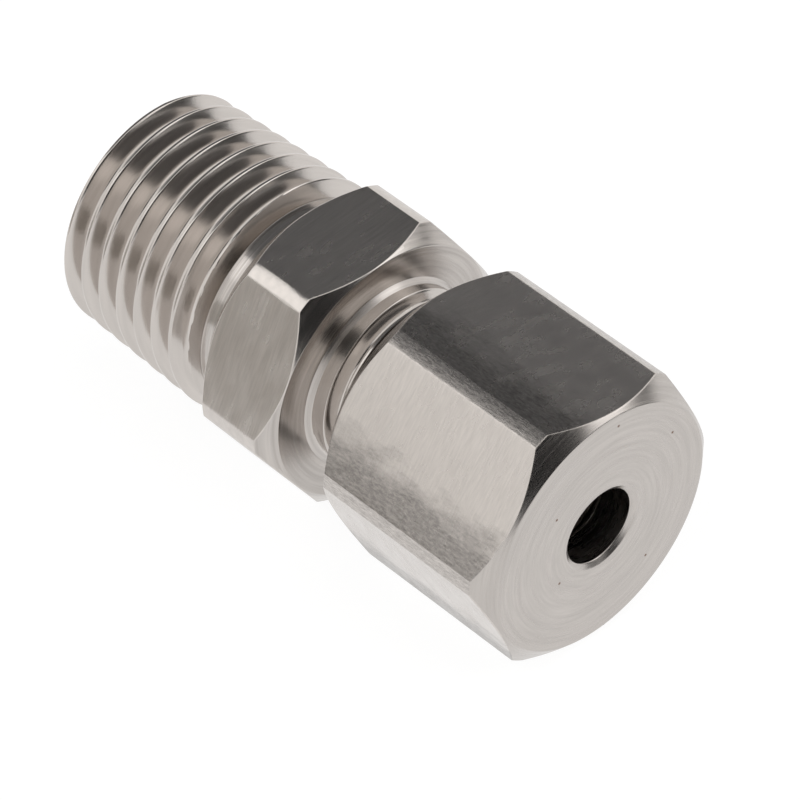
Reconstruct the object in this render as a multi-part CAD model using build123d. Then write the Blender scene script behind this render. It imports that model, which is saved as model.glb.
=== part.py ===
from build123d import *
import os
from math import atan, cos, degrees, radians, sin, tan

# Compression fitting that holds a thin probe in a pipe-threaded port, all in stainless steel.
# Millimetres. +X runs along the bore towards the nut and +Z is up. The origin lies on the axis
# of the bore, in the back face of the body's hexagon, where the pipe thread ends.
# The fitting lies on its side, finger tight, as it comes to rest on a bench.

# Probe and the bore that lets it through
probe_diameter = 4.0
probe_clearance = 0.05
bore_chamfer = 0.3
bore_radius = probe_diameter / 2 + probe_clearance

# Hexagons of the body and the nut, cut from one bar with its corners turned down. A chamfer
# is as deep, from the turned corners inwards, as its value says.
across_flats = 14.0
corner_diameter = 15.7
chamfer_angle = 40.6
back_chamfer = 1.45
body_hexagon_length = 5.7
body_front_chamfer = 0.9
nut_length = 12.0
nut_front_chamfer = 1.075

# Angle that the nut's flats stay behind the body's flats when it is finger tight
flats_lag = 9.4

# Taper pipe thread, quarter inch, nineteen to the inch, fifty-five degree form
pipe_pitch = 25.4 / 19
pipe_gauge_diameter = 13.157
pipe_gauge_length = 6.0
pipe_taper = 1 / 16
pipe_flank_angle = 27.5
pipe_crest_width = 0.4
pipe_length = 11.2
pipe_end_chamfer = 0.25
pipe_first_crest = 0.35
pipe_relief_width = 1.1
pipe_relief_diameter = 11.6

# Neck that carries the nut. Its fine thread is ten millimetres by one, and the plain faces
# here are at the thread's crests, with the clearance that lets the nut turn.
neck_diameter = 10.0
neck_length = 9.3
neck_gap = 2.9
neck_foot = 0.25
neck_chamfer = 0.6
thread_clearance = 0.05

# Seat, ferrule and the nut's inner cone
seat_angle = 12.0
seat_clearance = 0.05
ferrule_length = 5.2
ferrule_diameter = 6.4
ferrule_rim = 0.4
nut_end_wall = 2.0
nut_cone_angle = 45.0
nut_countersink_diameter = 4.7
nut_countersink_depth = 0.2
nut_mouth_chamfer = 0.6

# How far a cutting tool reaches past the metal that it takes away, less in the thread so that
# the turns of its groove stay apart
tool_overrun = 0.3
thread_overrun = 0.1

# Places along the axis that follow from the sizes above
pipe_end = -pipe_length
body_front = body_hexagon_length
neck_end = body_front + neck_length
nut_back = body_front + neck_gap
nut_front = nut_back + nut_length
nut_cone_end = nut_front - nut_end_wall

# Depth of the taper thread, whose V ends sharp between two flat crests
pipe_slope = tan(radians(pipe_flank_angle))
pipe_depth = (pipe_pitch - pipe_crest_width) / (2 * pipe_slope)


def turned(*points):
    """A solid turned about the X axis from its half section of (x, radius) points."""
    return revolve(make_face(Polyline(*points, close=True)), Axis.X)


def pipe_radius(x):
    """Crest radius of the taper thread at a place along the axis."""
    gauge_plane = pipe_end + pipe_gauge_length
    return (pipe_gauge_diameter + (x - gauge_plane) * pipe_taper) / 2


def hexagon(back, front, front_chamfer, turn):
    """A hexagon between two end faces, its corners turned round and its ends chamfered."""
    slope = tan(radians(chamfer_angle))
    corner = corner_diameter / 2
    outline = RegularPolygon(across_flats / 2, 6, major_radius=False, rotation=turn)
    bar = extrude(Plane.YZ.offset(back) * outline, front - back)
    envelope = turned(
        (back, 0),
        (back, corner - back_chamfer),
        (back + back_chamfer * slope, corner),
        (front - front_chamfer * slope, corner),
        (front, corner - front_chamfer),
        (front, 0),
    )
    return bar & envelope


def pipe_groove():
    """The V between two crests of the right-hand taper thread, swept on past both its ends."""
    start = pipe_end - pipe_pitch
    reach = pipe_depth + thread_overrun
    half_mouth = reach * pipe_slope
    root = pipe_radius(start) - pipe_depth
    section = Polyline((root, 0), (root + reach, -half_mouth), (root + reach, half_mouth), close=True)
    cone = degrees(atan(pipe_taper / 2))
    path = Helix(pipe_pitch, -half_mouth - start, root, cone_angle=cone)
    groove = sweep(Plane.XZ * make_face(section), path=path, is_frenet=True)
    # A crest lies half a pitch from the middle of the groove, and one is wanted on top
    turn = 360 * (start - pipe_end - pipe_first_crest - pipe_pitch / 2) / pipe_pitch
    top = Plane(origin=(start, 0, 0), x_dir=(0, 0, 1), z_dir=(1, 0, 0))
    return Rot(turn, 0, 0) * (top.location * groove)


def ferrule_section():
    """Half section of the ferrule, from its thin nose to the rim that the nut bears on."""
    nose_slope = tan(radians(seat_angle))
    tail_slope = tan(radians(nut_cone_angle))
    outer = ferrule_diameter / 2
    rim = bore_radius + ferrule_rim
    gap = seat_clearance / sin(radians(nut_cone_angle))
    tail_end = nut_cone_end - ferrule_rim / tail_slope - gap
    tail_start = tail_end - (outer - rim) / tail_slope
    nose_end = tail_end - ferrule_length
    nose_start = nose_end + (outer - rim) / nose_slope
    return (
        (nose_end, bore_radius),
        (nose_end, rim),
        (nose_start, outer),
        (tail_start, outer),
        (tail_end, rim),
        (tail_end, bore_radius),
    )


def seat_cutter():
    """Cone in the neck's mouth that the ferrule's nose wedges into, down to the bore."""
    slope = tan(radians(seat_angle))
    nose_end, nose_radius = ferrule_section()[1]
    gap = seat_clearance / cos(radians(seat_angle))
    mouth = neck_end + tool_overrun
    mouth_radius = nose_radius + (mouth - nose_end) * slope + gap
    tip = mouth - (mouth_radius - bore_radius) / slope
    return turned((tip, 0), (tip, bore_radius), (mouth, mouth_radius), (mouth, 0))


def bore_cutter(start, end, chamfer):
    """Drill for the probe, with a chamfer at the start where it opens to the outside."""
    mouth = bore_radius + chamfer + tool_overrun
    return turned(
        (start - tool_overrun, 0),
        (start - tool_overrun, mouth),
        (start + chamfer, bore_radius),
        (end, bore_radius),
        (end, 0),
    )


def pipe_thread():
    """Taper thread with a chamfered free end, then the relief that parts it from the hexagon."""
    middle = body_hexagon_length / 2
    bar = turned(
        (pipe_end, 0),
        (pipe_end, pipe_radius(pipe_end)),
        (middle, pipe_radius(middle)),
        (middle, 0),
    )
    relief = pipe_relief_diameter / 2
    shoulder = -pipe_relief_width
    shoulder_top = pipe_radius(shoulder) + tool_overrun
    wall = (shoulder_top - relief) * pipe_slope
    profile = turned(
        (pipe_end, 0),
        (pipe_end, pipe_radius(pipe_end) - pipe_end_chamfer),
        (pipe_end + pipe_end_chamfer + tool_overrun, pipe_radius(pipe_end) + tool_overrun),
        (shoulder - wall, shoulder_top),
        (shoulder, relief),
        (middle, relief),
        (middle, 0),
    )
    return (bar - pipe_groove()) & profile


def neck():
    """Neck for the nut, with a small cone at its foot and a chamfered mouth."""
    middle = body_hexagon_length / 2
    radius = neck_diameter / 2
    return turned(
        (middle, 0),
        (middle, radius + neck_foot),
        (body_front, radius + neck_foot),
        (body_front + neck_foot, radius),
        (neck_end - neck_chamfer, radius),
        (neck_end, radius - neck_chamfer),
        (neck_end, 0),
    )


def fitting_body():
    """Pipe thread, hexagon and threaded neck, turned from one bar and bored through."""
    grip = hexagon(0, body_front, body_front_chamfer, flats_lag / 2)
    blank = pipe_thread() + grip + neck()
    return blank - bore_cutter(pipe_end, neck_end + tool_overrun, bore_chamfer) - seat_cutter()


def ferrule():
    """Olive between the two cones: the nut drives it forward and it bites on the probe."""
    return turned(*ferrule_section())


def compression_nut():
    """Cap nut: skirt over the neck, inner cone behind the ferrule, end wall for the probe."""
    skirt = neck_diameter / 2 + thread_clearance
    slope = tan(radians(nut_cone_angle))
    countersink = nut_countersink_diameter / 2
    countersink_start = nut_front - nut_countersink_depth
    cavity = turned(
        (nut_back - tool_overrun, 0),
        (nut_back - tool_overrun, skirt + nut_mouth_chamfer + tool_overrun),
        (nut_back + nut_mouth_chamfer, skirt),
        (nut_cone_end - (skirt - bore_radius) / slope, skirt),
        (nut_cone_end, bore_radius),
        (countersink_start, bore_radius),
        (nut_front, countersink),
        (nut_front + tool_overrun, countersink),
        (nut_front + tool_overrun, 0),
    )
    return hexagon(nut_back, nut_front, nut_front_chamfer, -flats_lag / 2) - cavity


os.makedirs("parts", exist_ok=True)
export_step(fitting_body(), "parts/fitting_body.step")
export_step(ferrule(), "parts/ferrule.step")
export_step(compression_nut(), "parts/compression_nut.step")
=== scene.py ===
# %% [markdown]
# # Probe compression fitting
# A thin sensor probe slides through the bore, and the cap nut squeezes a ferrule round it. The
# sizes come from the CAD model, which is loaded here as a fixed frame. It keeps its plain solids
# for motion and collision, and this script gives each of them a finely cut twin to look at.

import bmesh
import bpy
import math
import numpy as np
from mathutils import Matrix, Vector


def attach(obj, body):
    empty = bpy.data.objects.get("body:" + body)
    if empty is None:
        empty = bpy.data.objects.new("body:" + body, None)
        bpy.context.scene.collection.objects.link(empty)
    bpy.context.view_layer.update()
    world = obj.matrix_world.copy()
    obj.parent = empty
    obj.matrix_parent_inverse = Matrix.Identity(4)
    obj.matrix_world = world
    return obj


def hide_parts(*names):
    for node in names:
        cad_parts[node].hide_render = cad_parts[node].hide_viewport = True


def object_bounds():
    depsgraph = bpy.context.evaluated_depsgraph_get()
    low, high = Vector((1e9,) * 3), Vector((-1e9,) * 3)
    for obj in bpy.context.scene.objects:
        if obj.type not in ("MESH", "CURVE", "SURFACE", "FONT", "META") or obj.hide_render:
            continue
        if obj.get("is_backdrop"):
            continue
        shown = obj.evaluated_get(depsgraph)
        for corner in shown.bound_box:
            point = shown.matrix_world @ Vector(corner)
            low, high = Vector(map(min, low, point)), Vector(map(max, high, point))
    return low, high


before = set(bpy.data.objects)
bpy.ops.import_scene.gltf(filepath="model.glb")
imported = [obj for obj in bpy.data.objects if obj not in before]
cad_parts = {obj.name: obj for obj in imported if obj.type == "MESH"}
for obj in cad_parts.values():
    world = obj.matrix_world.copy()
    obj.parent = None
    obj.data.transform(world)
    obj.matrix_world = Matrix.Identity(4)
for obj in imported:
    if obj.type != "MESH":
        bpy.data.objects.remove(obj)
cad_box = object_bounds()
MM = 0.001
print("CAD nodes:", sorted(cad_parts))

# %% [markdown]
# ## Camera
# A long lens looks down on the fitting from its nut end. Its place was solved from the outline
# of the hexagons in the photograph, so the picture and the CAD line up with no nudging. The long
# lens keeps the lines almost parallel. A shorter one nearer by would make the nut look too big.

# %% Name where the camera stands, in millimetres and degrees
focal_pixels = 5000.0
picture_width = 800
camera_distance = 243.936
azimuth, elevation, roll = (math.radians(a) for a in (46.0886, 42.7797, 0.7092))
aim_point = Vector((2.667, 0, 0))
aim_pixels = (341.339, 340.375)
aim_offset = [(a - picture_width / 2) / focal_pixels * camera_distance for a in aim_pixels]
print("the point aimed at is", [round(a, 2) for a in aim_offset], "mm off the picture's middle")

# %% [markdown]
# Blender's camera looks along its own -Z, with +Y up in the picture. So its turn is a matrix of
# three directions: to the picture's right, to its top, and back towards the photographer. Angles
# could be given instead, but a matrix has no order of turns to get wrong.

# %% Turn the camera and put it in its place
back = Vector((
    math.sin(azimuth) * math.cos(elevation),
    -math.cos(azimuth) * math.cos(elevation),
    math.sin(elevation),
))
level = Vector((math.cos(azimuth), math.sin(azimuth), 0))
upward = back.cross(level)
right = level * math.cos(roll) + upward * math.sin(roll)
top = upward * math.cos(roll) - level * math.sin(roll)
eye = aim_point + back * camera_distance - right * aim_offset[0] + top * aim_offset[1]

camera_data = bpy.data.cameras.new("camera")
camera_data.sensor_width = 36.0
camera_data.lens = focal_pixels / picture_width * camera_data.sensor_width
camera_data.clip_start = 0.01
camera = bpy.data.objects.new("camera", camera_data)
bpy.context.scene.collection.objects.link(camera)
turned_axes = Matrix((right, top, back)).transposed().to_4x4()
camera.matrix_world = Matrix.Translation(eye * MM) @ turned_axes
bpy.context.scene.camera = camera
print("lens", round(camera_data.lens, 1), "mm, camera at", [round(c, 1) for c in eye], "mm")

# %% [markdown]
# ## Sizes
# These are the CAD model's own sizes. +X runs along the bore towards the nut, +Z is up, and zero
# is the back face of the body's hexagon. A chamfer is as deep, from the corners inwards, as its
# number says.

# %% Name the sizes, in millimetres and degrees
flat_distance, corner_radius = 7.0, 7.85
body_turn, nut_turn = 4.7, -4.7
chamfer_slope = math.tan(math.radians(40.6))
back_chamfer, body_front_chamfer, nut_front_chamfer = 1.45, 0.9, 1.075

bore_radius, bore_chamfer = 2.05, 0.3
pipe_end, pipe_pitch = -11.2, 25.4 / 19
pipe_first_crest = pipe_end + 0.35
relief_radius, relief_wall = 5.8, -1.1
body_front, neck_radius, neck_end = 5.7, 5.0, 15.0
neck_pitch, neck_first_crest = 1.0, 5.7 + 0.76
nut_back, nut_front = 8.6, 20.6
print("the fitting is", round(nut_front - pipe_end, 1), "mm long")

# %% [markdown]
# ## Columns round a hexagon
# Every piece is turned or milled about the bore, so each mesh is a grid: rows follow the section
# from edge to edge, and columns stand at angles about the bore. A column on each edge of the
# hexagon keeps that edge straight and sharp, which an even spacing would not. Cutting a cylinder
# with six planes gives the same shape, but leaves long thin faces that shade badly.

# %% Place the columns
eased_by = (-0.55, -0.25, 0, 0.25, 0.55)


def hexagon_columns(turn):
    """Angles of the columns, from the top and right-handed about the bore, in radians."""
    edge = math.degrees(math.acos(flat_distance / corner_radius))
    half = [2.3 * i for i in range(1, 12)] + [edge + a for a in eased_by] + [28.9]
    sector = sorted([-30.0, 0.0] + half + [-a for a in half])
    return np.radians(np.array([turn + 60 * k + a for k in range(6) for a in sector]))


def hexagon_radius(angles, turn):
    """Distance from the bore to the side of the hexagon, its edges eased by a hair."""
    across = (np.degrees(angles) - turn + 30) % 60 - 30
    flat = flat_distance / np.cos(np.radians(across))
    ease = 0.02
    return (flat + corner_radius - np.sqrt((flat - corner_radius) ** 2 + ease**2)) / 2


print(len(hexagon_columns(body_turn)), "columns round each hexagon")

# %% [markdown]
# ## Eased edges
# A real edge is never quite sharp: the file or the tumbler leaves a narrow round that catches
# the light as a bright line. A bevel modifier could round the edges, but it stumbles where a
# thread runs out in a chamfer. So each corner of a section is replaced by a short curve, with one
# more row on either side, which keeps the flat next to it flat in the shading.

# %% Ease one corner
longest_share, guard_row = 0.2, 1.9


def eased_corner(before, corner, after, ease):
    """Rows round a corner: a curve of five between a guard row on each of the two flats."""
    into, out = before - corner, after - corner
    reach_in = np.maximum(np.hypot(*into), 1e-9)
    reach_out = np.maximum(np.hypot(*out), 1e-9)
    h = np.minimum(ease, longest_share * np.minimum(reach_in, reach_out))
    into, out = into / reach_in, out / reach_out
    a, b = corner + into * h, corner + out * h
    steps = (0, 0.25, 0.5, 0.75, 1)
    curve = [a * (1 - u) ** 2 + corner * 2 * u * (1 - u) + b * u**2 for u in steps]
    return [corner + into * h * guard_row] + curve + [corner + out * h * guard_row]


tried = eased_corner(*(np.array([[x], [r]]) for x, r in ((0.0, 5.0), (0.0, 7.0), (2.0, 7.0))), 0.05)
print("a corner takes", len(tried), "rows and is cut back to", tried[3].round(3).ravel(), "mm")

# %% [markdown]
# A whole section is a list of corners. Each says where it is, how far it is eased and how many
# rows stand between it and the next corner. Its x and r may differ from column to column, which
# is how a chamfer follows the flats and corners of the hexagon.

# %% Make the rows of a section
def section_rows(corners, count):
    """Rows of x and r over all columns from (x, r, easing, rows after it) corners."""
    points = [np.array([np.broadcast_to(v, count) for v in c[:2]], float) for c in corners]
    rows = [points[0]]
    for i in range(1, len(points)):
        inner, ease = i < len(points) - 1, corners[i][2]
        targets = eased_corner(*points[i - 1 : i + 2], ease) if inner and ease else [points[i]]
        near, between = rows[-1], corners[i - 1][3]
        rows += [near + (targets[0] - near) * k / (between + 1) for k in range(1, between + 1)]
        rows += targets
    return np.array([x for x, _ in rows]), np.array([r for _, r in rows])


tried = section_rows([(0, 5, 0, 0), (0, 7, 0.05, 3), (2, 7, 0, 0)], 1)
print("a section with one corner takes", len(tried[0]), "rows")

# %% [markdown]
# ## Threads
# A thread is one groove wound round the bar. Sweeping a V along a helix and cutting it away is
# the workshop's way, but a Boolean of so many thin slivers leaves a ragged mesh. Here the height
# of the surface is worked out instead: how far a place is from the nearest crest says how deep
# the groove is there.

# %% Measure from the nearest crest
def eased_step(value, limit, ease_low, ease_high):
    """value kept between 0 and limit, with both bends rounded."""
    low = (value + np.sqrt(value**2 + ease_low**2)) / 2
    return np.maximum((low + limit - np.sqrt((low - limit) ** 2 + ease_high**2)) / 2, 0)


def crest_distance(x, angle, pitch, crest):
    """How far along the bore a point is from the nearest crest, from 0 to half a pitch."""
    turns = (x - crest) / pitch - angle / (2 * math.pi)
    return np.abs(turns - np.round(turns)) * pitch


print("half a turn from a crest:", crest_distance(0, math.pi, pipe_pitch, 0).round(3), "mm")

# %% [markdown]
# ### Pipe thread
# The taper thread seals as it tightens. Its flanks stand at 55 degrees to each other, and its
# crests and roots are rounded. The die leaves the crests as narrow lands, which show in the
# photograph as thin bright lines.

# %% Profile of the pipe thread
pipe_flank_slope = math.tan(math.radians(27.5))
pipe_gauge_diameter, pipe_gauge_length, pipe_taper = 13.157, 6.0, 1 / 16
pipe_half_land, pipe_depth = 0.07, 0.88
pipe_crest_ease, pipe_root_ease = 0.03, 0.14


def pipe_crest_radius(x):
    """Crest radius of the taper thread, one in sixteen on the diameter."""
    return (pipe_gauge_diameter + (x - pipe_end - pipe_gauge_length) * pipe_taper) / 2


def pipe_surface(x, angle):
    """Radius of the taper pipe thread."""
    away = crest_distance(x, angle, pipe_pitch, pipe_first_crest) - pipe_half_land
    depth = eased_step(away / pipe_flank_slope, pipe_depth, pipe_crest_ease, pipe_root_ease)
    return pipe_crest_radius(x) - depth


print("crest radius at the free end", round(pipe_crest_radius(pipe_end), 3), "mm")

# %% [markdown]
# ### Fine thread of the neck
# The neck has ten millimetres by one, with 60 degree flanks. A single-point tool cuts it, and it
# enters the bar a little past the hexagon, so the groove starts shallow and deepens over the
# first part of a turn. The nut's thread is the same helix, without that start.

# %% Profile of the neck's thread
neck_flank_slope = math.tan(math.radians(30))
neck_half_land, neck_depth = 0.0625, 0.613
neck_crest_ease, neck_root_ease = 0.03, 0.12
groove_start, groove_deepens = 0.5, 0.22


def neck_surface(x, angle, fade=True):
    """Radius of the fine thread on the neck."""
    groove = neck_first_crest + neck_pitch / 2
    turns = (x - groove) / neck_pitch - angle / (2 * math.pi)
    away = neck_pitch / 2 - np.abs(turns - np.round(turns)) * neck_pitch - neck_half_land
    depth = eased_step(away / neck_flank_slope, neck_depth, neck_crest_ease, neck_root_ease)
    if fade:
        wound = np.round(turns) + angle / (2 * math.pi) + (groove - body_front - groove_start)
        depth = depth * np.clip(wound / groove_deepens, 0, 1)
    return neck_radius - depth


print("root radius of the neck's thread", round(neck_radius - neck_depth, 3), "mm")

# %% [markdown]
# ### Rows along a helix
# The rows of a thread's mesh run along the helix, so crests and roots stay crisp. Rows square to
# the bore would cross them and show as steps. After a whole turn a row meets the row one pitch
# further on. Rows that would run past the end of the thread are held at its end, and the points
# that meet there are merged later. Only where a chamfer cuts a thread short do level rows do
# better, since the chamfer's edge is level too.

# %% Wind the rows
def helical_rows(low, high, pitch, crest, offsets, columns):
    """x of each row and column along the helix, held between low and high."""
    first = math.floor((low - crest - pitch) / pitch - columns[-1] / (2 * math.pi)) - 1
    last = math.ceil((high - crest) / pitch - columns[0] / (2 * math.pi)) + 1
    along = np.array([k * pitch + o for k in range(first, last + 1) for o in offsets])
    x = crest + along[:, None] + pitch * columns[None, :] / (2 * math.pi)
    return np.clip(x, low, high)


def row_offsets(pitch, half):
    """Places of the rows in one pitch: the crest, the root and some on both flanks."""
    return sorted([0, pitch / 2] + [s * o for o in half for s in (-1, 1)])


def level_rows(low, high, number, columns):
    """x of rows that lie square to the bore."""
    return np.linspace(low, high, number)[:, None] + 0 * columns


pipe_offsets = row_offsets(pipe_pitch, (0.05, 0.07, 0.09, 0.12, 0.4, 0.5, 0.58))
neck_offsets = row_offsets(neck_pitch, (0.045, 0.08, 0.13, 0.3, 0.4))
print(len(pipe_offsets), "rows a pitch on the pipe thread,", len(neck_offsets), "on the neck")

# %% [markdown]
# ## From rows to a closed mesh
# Bands of rows are laid one after another round the whole section, so the piece closes into one
# skin with no gap, as the solid bar does. Each band has four-sided faces between its rows and
# columns. Its last column joins its first, on a thread one pitch further along.

# %% Lay the faces of one band
def laid_band(x, r, shift, columns, base):
    """Points and faces of one band. A whole turn moves on by shift rows."""
    points = np.stack([x, -r * np.sin(columns), r * np.cos(columns)], -1).reshape(-1, 3)
    row, count = np.arange(len(x)), len(columns)
    here = base + row[:, None] * count + np.arange(count)
    closing = base + np.minimum(row + shift, len(x) - 1) * count
    beside = np.concatenate([here[:, 1:], closing[:, None]], 1)
    faces = np.stack([here[:-1], beside[:-1], beside[1:], here[1:]], -1).reshape(-1, 4)
    return points, faces


tried = laid_band(np.zeros((2, 3)), np.ones((2, 3)), 0, np.radians([0, 120, 240]), 0)
print("two rows of three columns give", len(tried[0]), "points and", len(tried[1]), "faces")

# %% [markdown]
# Where bands meet, their points lie in the same place, and merging by distance joins them. That
# also takes away the faces that were squeezed flat at a thread's ends. The count of open edges
# then shows whether the skin is closed, and the volume whether anything was lost.

# %% Merge the bands
merge_distance = 2e-7


def merged(mesh):
    """Merge what meets, turn the faces outwards, and say how the skin came out."""
    work = bmesh.new()
    work.from_mesh(mesh)
    bmesh.ops.remove_doubles(work, verts=work.verts, dist=merge_distance)
    bmesh.ops.dissolve_degenerate(work, edges=work.edges, dist=merge_distance / 2)
    if work.calc_volume(signed=True) < 0:
        bmesh.ops.reverse_faces(work, faces=work.faces)
    open_edges = sum(1 for edge in work.edges if not edge.is_manifold)
    print(mesh.name, open_edges, "open edges,", round(work.calc_volume() / MM**3, 1), "mm3")
    work.to_mesh(mesh)
    work.free()


def tell_rows(name, bands):
    """Say how far a piece has come."""
    print(name, sum(len(band[0]) for band in bands), "rows in", len(bands), "bands")


print("points nearer than", round(merge_distance / MM, 5), "mm are merged")

# %% [markdown]
# A piece is then its bands and its finishes, with smooth shading. Edges sharper than 32 degrees
# stay sharp, so a face doesn't look puffed where it meets the next one.

# %% Close the skin
sharp_angle = math.radians(32)


def close_skin(name, bands, columns, dents=None):
    """One closed mesh from bands of (x, r, rows that a whole turn moves on, finish)."""
    points, faces, finishes = [], [], []
    base = 0
    for x, r, shift, finish in bands:
        if dents:
            r = r - dents(x, columns, r)
        band_points, band_faces = laid_band(x, r, shift, columns, base)
        points.append(band_points)
        faces.append(band_faces)
        finishes.append(np.broadcast_to(finish, (len(x) - 1, len(columns))).reshape(-1))
        base += x.size
    mesh = bpy.data.meshes.new(name)
    mesh.from_pydata((np.concatenate(points) * MM).tolist(), [], np.concatenate(faces).tolist())
    mesh.polygons.foreach_set("material_index", np.concatenate(finishes).astype(np.int32))
    merged(mesh)
    mesh.shade_smooth()
    mesh.set_sharp_from_angle(angle=sharp_angle)
    piece = bpy.data.objects.new(name, mesh)
    bpy.context.scene.collection.objects.link(piece)
    print(name, len(mesh.polygons), "faces")
    return piece


print("edges stay sharp from", round(math.degrees(sharp_angle)), "degrees")

# %% [markdown]
# ## Small knocks
# In a box of fittings the crests and corners get knocked, and each knock shines. Sculpting them
# by hand would look as good, but a few seeded soft dents are the same on every run.

# %% Scatter dents
def scattered_dents(seed, centres, size, depth):
    """Small knocks at (x, angle) places, as a function of place."""
    random = np.random.default_rng(seed)
    sizes = random.uniform(size * 0.6, size * 1.4, len(centres))
    depths = random.uniform(depth * 0.3, depth, len(centres))

    def sink(x, angle, r):
        total = np.zeros_like(x)
        for (cx, ca), s, d in zip(centres, sizes, depths):
            turn = np.abs((angle - ca + math.pi) % (2 * math.pi) - math.pi)
            gap = ((x - cx) / s) ** 2 + (turn * r / s) ** 2
            total += d * np.exp(-gap)
        return total

    return sink


def side_edges(turn):
    """Angles of the twelve edges between the flats and the turned corners, in radians."""
    return [math.radians(turn + 60 * k + s * 26.92) for k in range(6) for s in (-1, 1)]


dent_size = 0.06
random = np.random.default_rng(19)
print(len(side_edges(body_turn)), "edges on each hexagon can be knocked")

# %% [markdown]
# ## Finishes by number
# Each face of a mesh has the number of its finish, and the finishes are made further down. The
# sides of a hexagon have two: flats, and the corners that were turned round. A face goes by its
# first column, so its angle is taken a hair further on.

# %% Number the finishes
THREAD, RELIEF, FLAT, CORNER, TURNED, NECK, BORE = range(7)
flat_ends_at, hair, below_side = 26.9, 0.2, 0.04


def hexagon_finish(r, angles, turn):
    """Flats and corners on the sides, turned steel on the chamfers and the end faces."""
    side = hexagon_radius(angles, turn)
    lowest = np.minimum(np.roll(side, -1), side)
    middle = (r[1:] + r[:-1]) / 2
    across = np.abs((np.degrees(angles) + hair - turn + 30) % 60 - 30)
    sides = np.where(across < flat_ends_at, FLAT, CORNER)
    return np.where(middle > lowest - below_side, sides, TURNED)


print("finishes are numbered from", THREAD, "to", BORE)

# %% [markdown]
# ## Fitting body
# The body is turned from one hexagon bar: taper thread, relief, grip, neck and the cone that the
# ferrule seats in. Its bands start inside the bore at the free end, run over the outside, and
# come back through the bore. First comes the free end, whose chamfer cuts the thread short.

# %% Cut the free end
columns = hexagon_columns(body_turn)
count = len(columns)
side = hexagon_radius(columns, body_turn)
level_ring = 0 * columns
pipe_end_chamfer, first_row = 0.25, pipe_end + 0.06
bore_start, thread_start = pipe_end + 0.6, pipe_end + 0.3


def free_end(x):
    """The pipe thread where the chamfer of its free end cuts it short."""
    chamfer = pipe_crest_radius(pipe_end) - pipe_end_chamfer + (x - pipe_end)
    return np.minimum(pipe_surface(x, columns), chamfer)


x, r = section_rows(
    [
        (bore_start, bore_radius, 0, 1),
        (pipe_end + bore_chamfer, bore_radius, 0.05, 0),
        (pipe_end, bore_radius + bore_chamfer, 0.05, 3),
        (pipe_end, free_end(pipe_end + level_ring), 0.025, 0),
        (first_row, free_end(first_row + level_ring), 0, 0),
    ],
    count,
)
bands = [(x, r, 0, TURNED)]
x = level_rows(first_row, thread_start, 9, columns)
bands.append((x, free_end(x), 0, THREAD))
tell_rows("body with its free end:", bands)

# %% [markdown]
# The thread's groove runs out in the wall of the relief. Near that wall the rows stand square to
# the bore, because the wall does, and the smaller of the two radii is kept.

# %% Wind the pipe thread and let it run out
wound_until, wall_foot = -1.6, -1.14


def runout(x):
    """The pipe thread where the relief's wall cuts it short."""
    wall = relief_radius + (relief_wall - x) / pipe_flank_slope
    return np.minimum(pipe_surface(x, columns), wall)


x = helical_rows(thread_start, wound_until, pipe_pitch, pipe_first_crest, pipe_offsets, columns)
bands.append((x, pipe_surface(x, columns), len(pipe_offsets), THREAD))
x = level_rows(wound_until, wall_foot, 19, columns)
bands.append((x, runout(x), 0, THREAD))
x, r = section_rows(
    [
        (wall_foot, runout(wall_foot + level_ring), 0, 0),
        (relief_wall, relief_radius, 0.02, 4),
        (0, relief_radius, 0, 0),
    ],
    count,
)
bands.append((x, r, 0, RELIEF))
tell_rows("body with thread and relief:", bands)

# %% [markdown]
# The grip is the bar itself, with its corners turned down and both ends chamfered. On the flats
# the chamfer is shorter than on the corners, which gives each flat its bowed ends. That comes by
# itself when the chamfer's reach is worked out column by column.

# %% Mill the grip
neck_foot = 0.25


def chamfer_reach(side, depth):
    """How far along the bore a chamfer of this depth reaches on the side of a hexagon."""
    return (side - corner_radius + depth) * chamfer_slope


x, r = section_rows(
    [
        (0, relief_radius, 0, 2),
        (0, corner_radius - back_chamfer, 0.06, 2),
        (chamfer_reach(side, back_chamfer), side, 0.05, 6),
        (body_front - chamfer_reach(side, body_front_chamfer), side, 0.04, 1),
        (body_front, corner_radius - body_front_chamfer, 0.05, 4),
        (body_front, neck_radius + neck_foot, 0, 1),
        (body_front + neck_foot, neck_surface(body_front + neck_foot, columns), 0, 0),
    ],
    count,
)
bands.append((x, r, 0, hexagon_finish(r, columns, body_turn)))
tell_rows("body with its grip:", bands)

# %% [markdown]
# The neck's thread ends in the chamfer of its mouth. Inside the mouth is the cone that the
# ferrule's nose wedges into, and behind it the bore goes back to where the bands began.

# %% Wind the neck and bore it
mouth_chamfer_start, seat_radius, seat_tip = 14.4, 2.941, 10.81
x = helical_rows(
    body_front + neck_foot, mouth_chamfer_start, neck_pitch, neck_first_crest, neck_offsets, columns
)
bands.append((x, neck_surface(x, columns), len(neck_offsets), NECK))
x = level_rows(mouth_chamfer_start, neck_end, 13, columns)
r = np.minimum(neck_surface(x, columns), neck_radius + mouth_chamfer_start - x)
bands.append((x, r, 0, NECK))
x, r = section_rows(
    [
        (neck_end, r[-1], 0, 2),
        (neck_end, seat_radius, 0.04, 2),
        (seat_tip, bore_radius, 0.04, 8),
        (bore_start, bore_radius, 0, 0),
    ],
    count,
)
bands.append((x, r, 0, BORE))
tell_rows("body with neck and bore:", bands)

# %% [markdown]
# The knocks come last: all over the pipe thread, where those that meet a crest show, and on the
# edges of the grip, where spanners slip.

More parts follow.
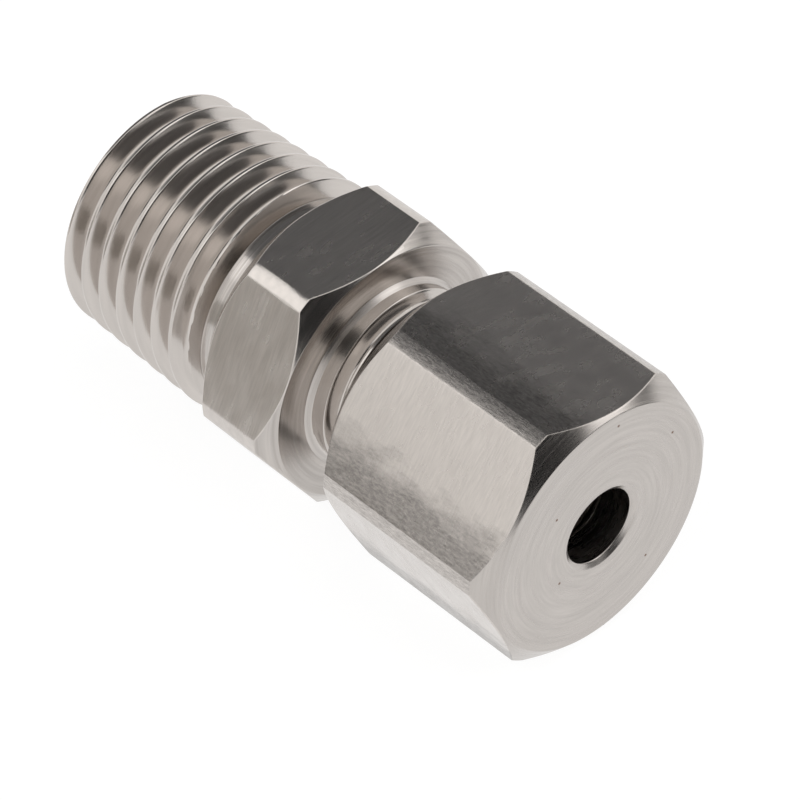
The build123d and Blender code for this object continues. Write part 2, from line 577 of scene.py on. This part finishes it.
# %% Close the body
places = random.uniform(pipe_end, -1.5, 46)
knocks = [(x, random.uniform(0, 2 * math.pi)) for x in places]
edges = side_edges(body_turn)
places = random.uniform(0.4, 5.3, 16)
knocks += [(x, random.choice(edges)) for x in places]
dents = scattered_dents(seed=5, centres=knocks, size=dent_size, depth=0.022)
body = close_skin("turned_body", bands, columns, dents)

# %% [markdown]
# ## Compression nut
# The nut has the same kind of hexagon, with its own thread inside the skirt. Its helix is the
# neck's helix a hair larger, so the nut can run off the neck without the two touching.

# %% Wind the nut's thread
columns = hexagon_columns(nut_turn)
count = len(columns)
side = hexagon_radius(columns, nut_turn)
level_ring = 0 * columns
thread_gap, mouth_radius, mouth_length = 0.09, 5.65, 1.2


def nut_thread(x):
    """Inside of the skirt, its thread cut short by the chamfer at the mouth."""
    mouth = np.maximum(mouth_radius - (x - nut_back), 0)
    return np.maximum(neck_surface(x, columns, fade=False) + thread_gap, mouth)


x = level_rows(nut_back, nut_back + mouth_length, 25, columns)
bands = [(x, nut_thread(x), 0, BORE)]
x = helical_rows(
    nut_back + mouth_length, neck_end, neck_pitch, neck_first_crest, neck_offsets, columns
)
bands.append((x, nut_thread(x), len(neck_offsets), BORE))
tell_rows("nut with its thread:", bands)

# %% [markdown]
# The skirt is plain past the thread, up to the cone that drives the ferrule. The hole for the
# probe ends in a small countersink, which shows as a bright ring on the end face.

# %% Cut the skirt, the cone and the hole
skirt_lip, skirt_radius, skirt_end, cone_end = neck_radius + 0.1, 5.05, 15.6, 18.6
countersink, face_start = 0.2, bore_radius + 0.7
countersunk_from = nut_front - countersink - 0.03
x, r = section_rows(
    [
        (neck_end, nut_thread(neck_end + level_ring), 0, 0),
        (neck_end, skirt_lip, 0, 2),
        (skirt_end, skirt_radius, 0.05, 4),
        (cone_end, bore_radius, 0.05, 4),
        (nut_front - countersink, bore_radius, 0.04, 0),
        (nut_front, bore_radius + bore_chamfer, 0.05, 0),
        (nut_front, face_start, 0, 0),
    ],
    count,
)
bands.append((x, r, 0, np.where(x[:-1] > countersunk_from, TURNED, BORE)))
tell_rows("nut with its whole inside:", bands)

# %% [markdown]
# Outside, the bar was faced at the front, turned down at the corners and chamfered at both ends.
# Bar for a nut is drawn through a die, and its edges pick up the most knocks.

# %% Cut the nut's outside and close it
x, r = section_rows(
    [
        (nut_front, face_start, 0, 6),
        (nut_front, corner_radius - nut_front_chamfer, 0.05, 1),
        (nut_front - chamfer_reach(side, nut_front_chamfer), side, 0.04, 10),
        (nut_back + chamfer_reach(side, back_chamfer), side, 0.04, 2),
        (nut_back, corner_radius - back_chamfer, 0.05, 1),
        (nut_back, nut_thread(nut_back + level_ring), 0, 0),
    ],
    count,
)
bands.append((x, r, 0, hexagon_finish(r, columns, nut_turn)))
edges = side_edges(nut_turn)
places = random.uniform(nut_back + 0.3, nut_front - 0.3, 26)
knocks = [(x, random.choice(edges)) for x in places]
dents = scattered_dents(seed=7, centres=knocks, size=dent_size, depth=0.018)
nut = close_skin("cap_nut", bands, columns, dents)

# %% [markdown]
# ## Ferrule
# The ferrule hides between the two cones, and only a glint of its rim shows down the bore. It is
# a small turned ring, so it is built the same way, with an even ring of columns. Its nose has a
# long taper that wedges into the seat, and its tail a short one that takes the push of the nut.

# %% Turn the ferrule
nose_end, shoulder_start, shoulder_end, tail_end = 12.93, 16.46, 17.38, 18.13
rim_radius, ferrule_radius, seam = 2.45, 3.2, 15.0
columns = np.linspace(0, 2 * math.pi, 96, endpoint=False)
x, r = section_rows(
    [
        (seam, bore_radius, 0, 2),
        (nose_end, bore_radius, 0.03, 0),
        (nose_end, rim_radius, 0.05, 4),
        (shoulder_start, ferrule_radius, 0.08, 2),
        (shoulder_end, ferrule_radius, 0.08, 2),
        (tail_end, rim_radius, 0.05, 1),
        (tail_end, bore_radius, 0.03, 3),
        (seam, bore_radius, 0, 0),
    ],
    len(columns),
)
ferrule = close_skin("turned_ferrule", [(x, r, 0, TURNED)], columns)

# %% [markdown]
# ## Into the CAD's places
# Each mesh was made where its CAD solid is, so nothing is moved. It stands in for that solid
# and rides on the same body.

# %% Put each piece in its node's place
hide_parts("fitting_body")
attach(body, "fitting_body")
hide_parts("compression_nut")
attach(nut, "compression_nut")
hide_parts("ferrule")
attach(ferrule, "ferrule")
print("three pieces ride on three bodies")

# %% [markdown]
# ## Small tools for shading
# A finish is a graph of nodes, and writing each link out makes it hard to read. A few short
# helpers keep it in plain words. The first adds a node with its inputs, each of them a plain
# value or a link from another node.

# %% Add nodes
def feed(tree, socket, value):
    """Set an input to a value, or link it where the value is another node's socket."""
    if isinstance(value, bpy.types.NodeSocket):
        tree.links.new(value, socket)
    else:
        socket.default_value = value


def add(tree, kind, inputs=None, **settings):
    """A new node with its settings and its inputs."""
    made = tree.nodes.new("ShaderNode" + kind)
    for name, value in settings.items():
        setattr(made, name, value)
    for name, value in (inputs or {}).items():
        feed(tree, made.inputs[name], value)
    return made


print("a kind is a node's name without ShaderNode in front, such as TexNoise")

# %% [markdown]
# Three more helpers work on values: a sum of two, a value stretched from one range to another,
# and one colour going over to another. A noise stays mostly between 0.3 and 0.7, so it is
# stretched to use the whole range.

# %% Sums, ranges and mixtures
def maths(tree, operation, first, second):
    """One sum of two values."""
    return add(tree, "Math", {0: first, 1: second}, operation=operation).outputs[0]


def stretch(tree, value, low, high, new_low, new_high):
    """value moved from low..high to new_low..new_high and held there."""
    names = ("Value", "From Min", "From Max", "To Min", "To Max")
    return add(tree, "MapRange", dict(zip(names, (value, low, high, new_low, new_high)))).outputs[0]


def mixed(tree, amount, first, second):
    """One colour turning into another. A Mix node keeps its colours in inputs 6 and 7."""
    made = add(tree, "Mix", data_type="RGBA")
    for index, value in ((0, amount), (6, first), (7, second)):
        feed(tree, made.inputs[index], value)
    return made.outputs[2]


noise_low, noise_high = 0.3, 0.7
print("a noise is stretched from", noise_low, "to", noise_high)

# %% [markdown]
# ### Grain and turning marks
# A milled or ground flat has straight lines, and a turned face has rings. Both are noise that
# changes fast across the marks and slowly along them. Grain takes its place on the piece in
# millimetres, stretched along the axes. An image would need unwrapping, and would blur up close.

# %% Straight grain
def place(tree):
    """Place on the piece in millimetres, as a vector."""
    metres = add(tree, "TexCoord").outputs["Object"]
    return add(tree, "VectorMath", {0: metres, "Scale": 1 / MM}, operation="SCALE").outputs[0]


def grain(tree, per_mm, detail=2.0, rough=0.5):
    """Noise stretched along the axes: how many grains there are in a millimetre of each."""
    scaled = add(tree, "VectorMath", {0: place(tree), 1: per_mm}, operation="MULTIPLY")
    inputs = {"Vector": scaled.outputs[0], "Scale": 1.0, "Detail": detail, "Roughness": rough}
    return add(tree, "TexNoise", inputs).outputs["Fac"]


print("grain is counted per millimetre along x, y and z, so its size is 1 over that")

# %% [markdown]
# Rings need the distance from the bore and the direction round it. The direction is given as a
# point on a circle, not as an angle, so there is no seam where a turn ends. That makes four
# numbers with the place along the bore, and a noise in four dimensions takes them all.

# %% Turning marks
def turning(tree, along, outward, around=1.2, detail=3.0):
    """Turning marks: noise that changes along the bore and outwards, but hardly round it."""
    parts = add(tree, "SeparateXYZ", {0: place(tree)}).outputs
    flat = add(tree, "CombineXYZ", {"Y": parts["Y"], "Z": parts["Z"]}).outputs[0]
    radius = add(tree, "VectorMath", {0: flat}, operation="LENGTH").outputs["Value"]
    unit = add(tree, "VectorMath", {0: flat}, operation="NORMALIZE").outputs[0]
    direction = add(tree, "SeparateXYZ", {0: unit}).outputs
    scaled = {
        "X": maths(tree, "MULTIPLY", parts["X"], along),
        "Y": maths(tree, "MULTIPLY", radius, outward),
        "Z": maths(tree, "MULTIPLY", direction["Z"], around),
    }
    inputs = {
        "Vector": add(tree, "CombineXYZ", scaled).outputs[0],
        "W": maths(tree, "MULTIPLY", direction["Y"], around),
        "Scale": 1.0,
        "Detail": detail,
    }
    return add(tree, "TexNoise", inputs, noise_dimensions="4D").outputs["Fac"]


print("turning marks take 4 numbers: along, outward and 2 for the direction round the bore")

# %% [markdown]
# ## Steel
# All three pieces are bare stainless steel, so the metal is the same everywhere and only the
# tool marks differ. Stainless reflects a bit over half of the light and is slightly warm. Each
# finish gets a base colour, a roughness and a relief, all from noise at the scale of its marks.
# One flat grey would look like plastic as soon as the camera comes near.

# %% Steel with tool marks
STEEL = (0.59, 0.552, 0.522)


def steel(name, shade, roughness, relief, depth):
    """A finish of bare steel, its relief so many millimetres deep. Each maker gives a socket."""
    material = bpy.data.materials.new(name)
    material.use_nodes = True
    tree = material.node_tree
    shader = tree.nodes["Principled BSDF"].inputs
    shader["Metallic"].default_value = 1.0
    feed(tree, shader["Base Color"], shade(tree))
    feed(tree, shader["Roughness"], roughness(tree))
    bump = {"Height": relief(tree), "Distance": depth * MM, "Strength": 1.0}
    feed(tree, shader["Normal"], add(tree, "Bump", bump).outputs[0])
    print("finish:", name)
    return material


def toned(low, high, noise):
    """Maker of a colour: steel between two levels of brightness, led by a noise."""
    dark, light = (tuple(c * level for c in STEEL) + (1,) for level in (low, high))
    whole = (noise_low, noise_high, 0, 1)
    return lambda tree: mixed(tree, stretch(tree, noise(tree), *whole), dark, light)


def ranged(low, high, noise):
    """Maker of a value between two limits, led by a noise."""
    return lambda tree: stretch(tree, noise(tree), noise_low, noise_high, low, high)


# %% [markdown]
# ### Cut thread
# The die burnishes the flanks as it cuts, so they are the brightest part of the body, with only
# a breath of rings. The relief beside them was plunged with a narrow tool, which left coarse
# rings that go from light to dark.

# %% Thread and relief
thread_steel = steel(
    "cut thread",
    shade=toned(0.92, 1.03, lambda t: turning(t, along=3, outward=3)),
    roughness=ranged(0.14, 0.2, lambda t: turning(t, along=3, outward=3)),
    relief=lambda t: turning(t, along=9, outward=9, around=2.0, detail=2),
    depth=0.0005,
)
relief_steel = steel(
    "turned relief",
    shade=toned(0.7, 1.05, lambda t: turning(t, along=12, outward=6)),
    roughness=ranged(0.12, 0.22, lambda t: turning(t, along=14, outward=9)),
    relief=lambda t: turning(t, along=14, outward=10, around=2.0),
    depth=0.0025,
)

# %% [markdown]
# ### Flats and corners of the body
# The cutter crosses the body's flats, so their fine lines run round the bar: many to a
# millimetre along the bore, and few across it. The corners were turned down, and are smoother.

# %% Body flats and corners
flat_steel = steel(
    "milled flats",
    shade=toned(0.88, 1.05, lambda t: grain(t, (13, 0.6, 0.6), detail=3)),
    roughness=ranged(0.17, 0.29, lambda t: grain(t, (1.3, 0.5, 0.5), detail=3)),
    relief=lambda t: grain(t, (15, 0.9, 0.9), detail=3),
    depth=0.0009,
)
corner_steel = steel(
    "turned corners",
    shade=toned(0.95, 1.05, lambda t: grain(t, (3, 3, 3))),
    roughness=ranged(0.14, 0.22, lambda t: grain(t, (6, 6, 6))),
    relief=lambda t: turning(t, along=10, outward=2),
    depth=0.0008,
)

# %% [markdown]
# ### Flats of the nut
# The nut's flats were ground. Along one side of each flat a darker, speckled strip is painted:
# a painted dark reflection. Painting a mask by hand would do for one flat. Here the mask is the
# angle about the bore, counted from edge to edge of each flat, with noise to make it ragged.

# %% Find the strip of painted dark reflection
strip_starts, strip_full, raggedness = 0.88, 1.12, 0.5


def painted_reflection_strip(tree):
    """0 where the nut's flats are ground, 1 in the strip of painted dark reflection along each
    lower edge.
    """
    parts = add(tree, "SeparateXYZ", {0: place(tree)}).outputs
    sideways = maths(tree, "MULTIPLY", parts["Y"], -1.0)
    angle = maths(tree, "ARCTAN2", sideways, parts["Z"])
    # Half a flat further, to count from an edge, and a whole turn further, to stay above zero
    from_edge = maths(tree, "ADD", angle, math.radians(30 + 360 - nut_turn))
    across = maths(tree, "FLOORED_MODULO", from_edge, math.radians(60))
    ragged = maths(tree, "MULTIPLY", grain(tree, (0.5, 1.2, 1.2), detail=5, rough=0.65), raggedness)
    return stretch(tree, maths(tree, "ADD", across, ragged), strip_starts, strip_full, 0, 1)


print("the strip starts", round(math.degrees(strip_starts)), "degrees from an edge, less the noise")

# %% [markdown]
# The ground steel and the painted dark reflection then go over into each other by that mask,
# in colour and in relief. The pits in the strip are deeper than the grinding lines.

# %% Ground flats with a painted dark reflection
pit_depth = 2.5


def strip_speckle(tree):
    """Fine pits, drawn out a little along the bar."""
    return grain(tree, (3, 9, 9), detail=4, rough=0.7)


def nut_flat_shade(tree):
    """Bright ground steel, going over to the darker speckle of the painted dark reflection."""
    ground = toned(0.98, 1.1, lambda t: grain(t, (12, 1.2, 1.2), detail=3))(tree)
    # The darker speckled strip mixed in here is a painted dark reflection along one edge of each
    # flat
    return mixed(tree, painted_reflection_strip(tree), ground, toned(0.36, 0.78, strip_speckle)(tree))


def nut_flat_relief(tree):
    """Grinding lines, with pits where the dark reflection is painted."""
    pits = maths(tree, "MULTIPLY", strip_speckle(tree), painted_reflection_strip(tree))
    lines = grain(tree, (14, 1.4, 1.4), detail=3)
    return maths(tree, "ADD", lines, maths(tree, "MULTIPLY", pits, pit_depth))


nut_flat_steel = steel(
    "ground flats",
    shade=nut_flat_shade,
    roughness=ranged(0.22, 0.3, lambda t: grain(t, (1.2, 0.6, 0.6), detail=3)),
    relief=nut_flat_relief,
    depth=0.0014,
)

# %% [markdown]
# ### Corners of the nut
# Between the nut's flats a narrow band of the drawn skin is left all along the bar. It is the
# roughest surface of the fitting, and in the photograph it is a dark, speckled stripe.

# %% Drawn corners
nut_corner_steel = steel(
    "drawn corners",
    shade=toned(0.6, 1.1, lambda t: grain(t, (2.5, 12, 12), detail=4, rough=0.7)),
    roughness=ranged(0.2, 0.34, lambda t: grain(t, (3, 12, 12), detail=3)),
    relief=lambda t: grain(t, (2.5, 12, 12), detail=4, rough=0.7),
    depth=0.006,
)

# %% [markdown]
# ### Turned and faced ends
# A lathe tool leaves rings on the chamfers and the ends. The nut's end was faced with a finer
# feed, and has a few tiny rusty pits. They are the middles of large random cells, so there is
# one to a few millimetres, and no two lie close together.

# %% Ends and chamfers
pit_cells_per_mm, pit_middle, pit_rim = 0.19, 0.008, 0.018
pit_colour = (0.17, 0.1, 0.07, 1)


def faced_shade(tree):
    """The tool's fine rings, with a few tiny rusty pits."""
    rings = toned(0.81, 0.93, lambda t: turning(t, along=6, outward=6, around=2.0, detail=4))(tree)
    parts = add(tree, "SeparateXYZ", {0: place(tree)}).outputs
    face = add(tree, "CombineXYZ", {"X": parts["Y"], "Y": parts["Z"]}).outputs[0]
    inputs = {"Vector": face, "Scale": pit_cells_per_mm}
    cells = add(tree, "TexVoronoi", inputs, voronoi_dimensions="2D").outputs["Distance"]
    return mixed(tree, stretch(tree, cells, pit_middle, pit_rim, 1, 0), rings, pit_colour)


turned_steel = steel(
    "turned faces",
    shade=toned(0.74, 0.96, lambda t: turning(t, along=5, outward=5)),
    roughness=ranged(0.17, 0.27, lambda t: turning(t, along=8, outward=8)),
    relief=lambda t: turning(t, along=12, outward=12, around=1.5, detail=4),
    depth=0.0012,
)
nut_face_steel = steel(
    "faced end",
    shade=faced_shade,
    roughness=ranged(0.2, 0.3, lambda t: turning(t, along=9, outward=9)),
    relief=lambda t: turning(t, along=12, outward=12, around=2.0, detail=4),
    depth=0.0012,
)

# %% [markdown]
# ### Bore
# A drill leaves a rougher wall, and little light gets in, so its steel is toned down. Then each
# piece gets its finishes in the order of their numbers.

# %% Drilled bore, and the finishes handed out
bore_steel = steel(
    "drilled bore",
    shade=toned(0.5, 0.75, lambda t: turning(t, along=3, outward=3)),
    roughness=ranged(0.2, 0.35, lambda t: turning(t, along=6, outward=6)),
    relief=lambda t: turning(t, along=8, outward=8),
    depth=0.003,
)
# In the order of THREAD, RELIEF, FLAT, CORNER, TURNED, NECK and BORE
body_sides = (flat_steel, corner_steel, turned_steel)
nut_sides = (nut_flat_steel, nut_corner_steel, nut_face_steel)
for piece, sides in ((body, body_sides), (nut, nut_sides)):
    for finish in (thread_steel, relief_steel, *sides, thread_steel, bore_steel):
        piece.data.materials.append(finish)
for _ in range(TURNED + 1):
    ferrule.data.materials.append(turned_steel)
print(len(body.data.materials), "finishes on the body and on the nut")

# %% [markdown]
# ## Floor
# The photograph's ground is pure white, though the light on the fitting is not that strong. So
# the floor's material asks what looks at it. The camera and reflections see a glow that is
# almost white, and a dim cloth on top keeps the fitting's faint shadow. Other light sees cloth.

# %% Lay the floor
floor_height = -7.2676
reach = 2500
corners = [(-reach, -reach), (reach, -reach), (reach, reach), (-reach, reach)]
floor_points = [(a * MM, b * MM, floor_height * MM) for a, b in corners]
floor_mesh = bpy.data.meshes.new("floor")
floor_mesh.from_pydata(floor_points, [], [(0, 1, 2, 3)])
floor = bpy.data.objects.new("floor", floor_mesh)
bpy.context.scene.collection.objects.link(floor)
floor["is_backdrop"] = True
print("the floor lies", floor_height, "mm below the bore's axis")

# %% [markdown]
# Paper and cloth have no gloss, so their specular level is nought and their roughness is one.

# %% White cloth that glows for the camera
def matt(material, colour):
    """Make a material matt, in one colour."""
    material.use_nodes = True
    shader = material.node_tree.nodes["Principled BSDF"]
    shader.inputs["Base Color"].default_value = colour + (1,)
    shader.inputs["Roughness"].default_value = 1
    shader.inputs["Specular IOR Level"].default_value = 0
    return shader


floor_material = bpy.data.materials.new("white floor")
cloth = matt(floor_material, (0.86, 0.855, 0.845))
tree = floor_material.node_tree
glow = add(tree, "Emission", {"Strength": 0.9})
dim_cloth = add(tree, "BsdfDiffuse", {"Color": (0.2, 0.2, 0.2, 1)})
seen = add(tree, "AddShader", {0: glow.outputs[0], 1: dim_cloth.outputs[0]})
path = add(tree, "LightPath").outputs
straight = maths(tree, "MAXIMUM", path["Is Camera Ray"], path["Is Glossy Ray"])
through = maths(tree, "MAXIMUM", straight, path["Is Transmission Ray"])
choose = add(tree, "MixShader", {0: through, 1: cloth.outputs[0], 2: seen.outputs[0]})
tree.links.new(choose.outputs[0], tree.nodes["Material Output"].inputs["Surface"])
floor_mesh.materials.append(floor_material)
print("the floor glows at", round(glow.inputs["Strength"].default_value, 2))

# %% [markdown]
# ## Light
# The fitting stands in a light tent. Bright metal looks like what stands round it, so the tent
# is a white world, and dark cards in it make the dark bands on the steel. Lamps alone would give
# hard white spots on black metal.

# %% Pitch the white tent
world = bpy.data.worlds.new("light tent")
world.use_nodes = True
bpy.context.scene.world = world
tent = world.node_tree.nodes["Background"]
tent.inputs["Color"].default_value = (1, 0.99, 0.975, 1)
tent.inputs["Strength"].default_value = 1.0
print("the tent's strength is", tent.inputs["Strength"].default_value)

# %% [markdown]
# Each card faces the fitting from a direction that some of the steel reflects to the camera. The
# one overhead darkens the top flats. The low one, almost white and close by, shades the body's
# left flat. The other three put the dark bands on chamfers and threads. The camera doesn't see
# them, and painting the bands on the steel would look wrong from any other side.

# %% Hang the dark cards
def facing_axes(towards, across):
    """Directions of a rectangle that faces the fitting: out to it, its width and its height."""
    out = Vector(towards).normalized()
    wide = (Vector(across) - out * out.dot(Vector(across))).normalized()
    return out, wide, out.cross(wide)


def card(name, colour, towards, distance, across, half_width, half_height):
    """A matt card that the camera doesn't see, but the bright steel does. In millimetres."""
    out, wide, high = facing_axes(towards, across)
    signs = ((-1, -1), (1, -1), (1, 1), (-1, 1))
    places = [out * distance + wide * half_width * i + high * half_height * j for i, j in signs]
    mesh = bpy.data.meshes.new(name)
    mesh.from_pydata([p * MM for p in places], [], [(0, 1, 2, 3)])
    made = bpy.data.objects.new(name, mesh)
    bpy.context.scene.collection.objects.link(made)
    made.visible_camera = False
    material = bpy.data.materials.new(name)
    matt(material, colour)
    mesh.materials.append(material)
    made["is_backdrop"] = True
    print(name, "hangs", distance, "mm away")


along_y = (0, 1, 0)
card("overhead_card", (0.21, 0.215, 0.225), (-0.53, 0.304, 0.792), 300, along_y, 234, 165)
card("front_card", (0.03, 0.03, 0.032), (0.93, -0.12, 0.33), 300, along_y, 150, 110)
card("camera_card", (0.03, 0.03, 0.03), (0.60, -0.46, 0.66), 300, along_y, 75, 75)
card("side_card", (0.12, 0.12, 0.12), (0.80, 0.58, 0.07), 300, along_y, 150, 50)
card("low_card", (0.85, 0.83, 0.80), (-0.62, -0.78, 0.05), 62, (0.85, -0.53, 0), 27, 12)

# %% [markdown]
# Two softboxes, a little brighter than the tent, give the light streaks along the threads and
# the round of the nut. An area lamp's power is spread over its size, so it is worked out from
# how bright the lamp's face should look.

# %% Set up the softboxes
def softbox(name, radiance, towards, distance, across, half_width, half_height):
    """A soft lamp whose face looks as bright as its radiance."""
    out, wide, high = facing_axes(towards, across)
    data = bpy.data.lights.new(name, "AREA")
    data.shape = "RECTANGLE"
    data.size = 2 * half_width * MM
    data.size_y = 2 * half_height * MM
    data.energy = radiance * math.pi * data.size * data.size_y
    lamp = bpy.data.objects.new(name, data)
    axes = Matrix((wide, high, out)).transposed().to_4x4()
    lamp.matrix_world = Matrix.Translation(out * distance * MM) @ axes
    bpy.context.scene.collection.objects.link(lamp)
    lamp.visible_camera = False
    print(name, "gives", round(data.energy * 1000, 1), "mW")


softbox("left_softbox", 0.4, (-0.53, -0.50, 0.68), 320, along_y, 55, 90)
softbox("right_softbox", 0.8, (0.72, 0.56, 0.42), 320, along_y, 60, 60)

# %% [markdown]
# ## Look and sizes
# Standard view keeps each colour as it is written. The sides of the two boxes, the CAD
# model's and the dressed fitting's, are printed. The dressed fitting must be no larger than
# the CAD model.

# %% Print the sizes and finish
bpy.context.scene.view_settings.view_transform = "Standard"
boxes = {"cad": cad_box, "visual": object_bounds()}
lengths = {k: [round((b - a) / MM, 2) for a, b in zip(*box)] for k, box in boxes.items()}
print("lengths of the sides in millimetres:", lengths)
